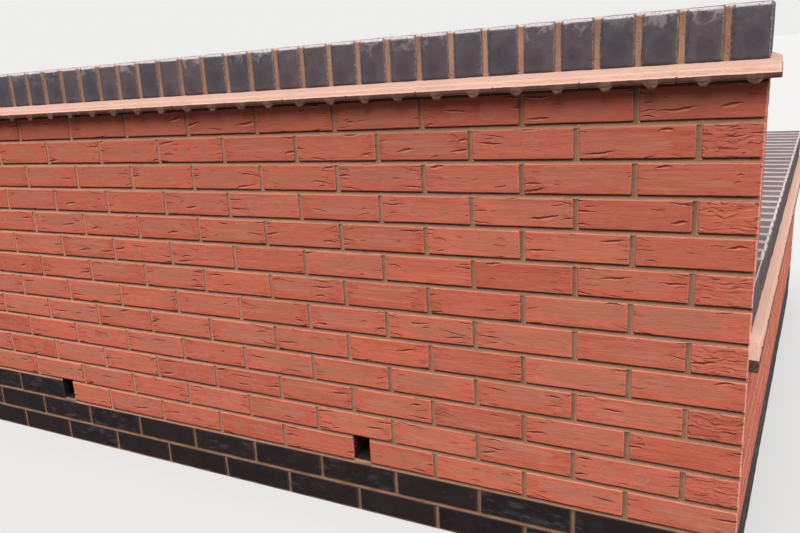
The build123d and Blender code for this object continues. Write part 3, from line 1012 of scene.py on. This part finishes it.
beds, tiles = Mesh("front_creasing_bed"), Mesh("front_creasing_tiles")
bed_middle = (FRONT_TOP + FRONT_TILES) / 2
for wall, length in (("front", LENGTH), ("back", LENGTH), ("left", THICK), ("right", THICK)):
    add_strip(beds, wall, (0, length), bed_middle, THIN, rough=0.0009)
row_end = LENGTH + 2 * END_OVERHANG
boxes, ribs = [], []
for start, stop in tile_spans(0, row_end):
    low, high = row_end - min(stop + LONGER, row_end), row_end - max(start - LONGER, 0)
    run = (low - END_OVERHANG, high - END_OVERHANG)
    height = (FRONT_TILES, FRONT_TILES + FRONT_TILE)
    boxes.append(box("front", run, (-OVERHANG, THICK + OVERHANG), height))
    if start > 0:
        gap = (run[1] - 0.001, run[1] + TILE_GAP - 0.005)
        deep = (RIB_INSET - OVERHANG, THICK + OVERHANG - RIB_INSET)
        height = (FRONT_TILES + 0.0005, FRONT_TILES + FRONT_TILE)
        ribs.append(box("front", gap, deep, height))
add_boxes(tiles, boxes, TILE_LINES, 0.0013, 0.0005, chips=1.3)
add_boxes(beds, ribs, RIB_LINES, 0.0012, 0.0008)
for tile in boxes:
    low, high = tile[1]
    for reach in NIB_PLACES:
        if reach + 0.015 < high - low:
            add_nib(tiles, -CORNER + high - reach, tile[4])
tiles.build(tile_clay, "clay_tile", "front_creasing_tiles")
beds.build(painted_shade_mortar, "mortar", "front_creasing_bed")

# Creasing of the return, in two courses that break joint
tiles, middle = Mesh("return_creasing_tiles"), Mesh("return_creasing_middle_bed")
beds = Mesh("return_creasing_levelling_bed")
for level, stagger in zip(RETURN_TILES, (0, 0.087)):
    height = (level, level + RETURN_TILE)
    spans = [(0, stagger - TILE_GAP)] if stagger else []
    spans += tile_spans(stagger, RETURN + END_OVERHANG)
    deep = (-OUTER_OVERHANG, THICK + INNER_OVERHANG)
    boxes = [box("return", run, deep, height) for run in spans]
    add_boxes(tiles, boxes[:1], TILE_LINES, 0.0018, 0.0005, chips=1.3, clip=True)
    add_boxes(tiles, boxes[1:], TILE_LINES, 0.0018, 0.0005, chips=1.3)
    deep = (0.004 - OUTER_OVERHANG, THICK + INNER_OVERHANG - 0.004)
    for start, _ in spans[1:]:
        gap = (start - TILE_GAP - 0.001, start + 0.001)
        rib = [box("return", gap, deep, height)]
        add_boxes(middle, rib, RIB_LINES, 0.0012, 0.0008, clip=gap[0] <= OVERLAP)
tiles.build(tile_clay, "clay_tile", "return_creasing_tiles_lower", "return_creasing_tiles_upper")


def round_return(outer_side, inner_side, end):
    """The line round the return, so far out from its outer side, inner side and end."""
    clear = 0.0004
    return [
        (MEETING, FACE + clear), on_return(-outer_side, clear),
        on_return(-outer_side, RETURN + end), on_return(THICK + inner_side, RETURN + end),
        on_return(THICK + inner_side, OVERLAP),
    ]


def raised(base, profile):
    """A ring's profile in metres, from heights in mm over a base."""
    return [(share, base + height / 1000) for share, height in profile]


BED_PROFILE = [(0.6, -1), (0, 0.5), (0, 13), (0, 24.5), (0.6, 26)]
MIDDLE_PROFILE = [(0.5, -0.5), (0, 1), (0, 4), (0.5, 5.5)]
add_ring(
    beds, round_return(-0.001, -0.001, -0.001), round_return(-0.004, -0.004, -0.004),
    raised(RETURN_TOP, BED_PROFILE), closed=False, rough=0.0006,
)
add_ring(
    middle, round_return(0.0135, 0.0285, 0.016), round_return(0.009, 0.024, 0.012),
    raised(RETURN_TILES[0] + RETURN_TILE, MIDDLE_PROFILE), closed=False, rough=0.0006,
)
beds.build(bed_mortar, "mortar", "return_creasing_levelling_bed")
middle.build(painted_shade_mortar, "mortar", "return_creasing_middle_bed")

# The weathered bands under the copings: an upright face, a rounded arris and a shoulder
FRONT_PROFILE = [
    (0, -0.6), (0, 2), (0, 6), (0, 11), (0.03, 12.8), (0.12, 14.1), (0.4, 16.5), (0.7, 18.8),
    (1, 20.8), (1.35, 21.8),
]
RETURN_PROFILE = [
    (0.03, 0), (0, 1.2), (0, 12), (0, 22), (0, 32), (0, 40.5), (0.05, 42.3), (0.15, 43.5),
    (0.55, 47), (1, 50.6), (1.3, 51.4),
]
band = Mesh("front_coping_band")
x, y = CORNER + 0.0185, THICK / 2 + 0.0235
outer = [(-x, -y), (x, -y), (x, y), (-x, y)]
inner = [(-CORNER, FACE), (CORNER, FACE), (CORNER, -FACE), (-CORNER, -FACE)]
add_ring(band, outer, inner, raised(FRONT_BAND, FRONT_PROFILE))
band.build(band_mortar, "weathered_mortar", "front_coping_band")
band = Mesh("return_coping_band")
outer, inner = round_return(0.016, 0.031, 0.0185), round_return(0, 0, 0)
add_ring(band, outer, inner, raised(RETURN_BAND, RETURN_PROFILE), closed=False)
band.build(band_mortar, "weathered_mortar", "return_coping_band")

# Copings of bricks on edge, where a cut slip of brick closes the return's beside the front wall
COPING_LINES, SLIP_LINES, COPING_JOINT_LINES = (3, 6, 4), (12, 2, 6), (2, 10, 6)
for wall, level, first, count in (("front", FRONT_COPING, 0, 63), ("return", RETURN_COPING, 3, 30)):
    starts = [i * COURSE for i in range(first, count)]
    height = (level - 0.002, level + COPING_HIGH)
    mesh = Mesh(wall + "_coping_bricks")
    boxes = [brick(wall, (s, s + HIGH), (0, THICK), height) for s in starts]
    add_boxes(mesh, boxes, COPING_LINES, 0.007, 0.0005, chips=0.5, seed=3)
    if wall == "return":
        slip = brick(wall, (0.002, THICK - 0.0005), (0, 0.012), height)
        add_boxes(mesh, [slip], SLIP_LINES, 0.002, 0.0005, seed=3, clip=True)
    mesh.build(coping_brick, "blue_engineering_brick", wall + "_coping_bricks")
    mesh = Mesh(wall + "_coping_joints")
    boxes = []
    for s in starts[1:] if wall == "front" else starts:
        inset = 0.0015 + 0.0012 * rng.random()
        height = (level - 0.003, level + COPING_HIGH + 0.0006 + 0.001 * rng.random())
        gap = (s - JOINT - 0.0012, s + 0.0012)
        boxes.append(box(wall, gap, (inset, THICK - inset), height))
    add_boxes(mesh, boxes, COPING_JOINT_LINES, 0.0022, 0.0009, chips=0.8, seed=4)
    mesh.build(coping_mortar, "mortar", wall + "_coping_joints")

# Floor and light, each paler where it is seen than for the light it gives the wall
bpy.ops.mesh.primitive_plane_add(size=60, location=(0, 0, 0))
floor = bpy.context.object
floor.name = "floor"
floor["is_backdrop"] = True
s = Shader("pale_floor", 0.1)
seen = s.seen()
s.cover({
    "Base Color": s.mix(seen, (0.14, 0.125, 0.115), (0.22, 0.218, 0.215)), "Roughness": 0.9,
    "Emission Color": (1, 0.995, 0.985), "Emission Strength": seen * 0.4,
})
floor.data.materials.append(s.owner)

s = Nodes(bpy.data.worlds.new("studio"))
bpy.context.scene.world = s.owner
soft = s.node("Background", [(0, (1, 0.985, 0.97)), (1, 0.24)]).outputs[0]
shown = s.node("Background", [(0, (0.855, 0.85, 0.845)), (1, 1)]).outputs[0]
sky = s.node("MixShader", [(0, s.seen()), (1, soft), (2, shown)])
s.node("OutputWorld", [(0, sky.outputs[0])])


def lamp(name, toward, strength, spread):
    """A wide, even light that shines along a direction."""
    light = bpy.data.lights.new(name, "SUN")
    light.energy, light.angle = strength, radians(spread)
    thing = new_object(name, light)
    thing.rotation_euler = Vector(toward).to_track_quat("-Z", "Y").to_euler()
    thing.location = -4 * Vector(toward)


lamp("light_over", (-0.06, 0.46, -0.89), 4.7, 45)
lamp("light_side", (-0.8, 0.16, -0.56), 2.2, 40)
lamp("light_behind", (0.35, -0.75, -0.55), 1.1, 60)

# The camera fitted to the photo's brick courses, with two thirds of the fitted shift
view = bpy.data.cameras.new("camera")
view.lens, view.sensor_width, view.shift_x = 35.997, 36, 0.18
view.clip_start, view.clip_end = 0.05, 100
camera = new_object("camera", view)
camera.location = (2.3769, -1.8678, 1.2697)
camera.rotation_euler = (radians(74.636), radians(5.491), radians(32.372))
bpy.context.scene.camera = camera
bpy.context.scene.view_settings.view_transform = "Standard"

low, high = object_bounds()
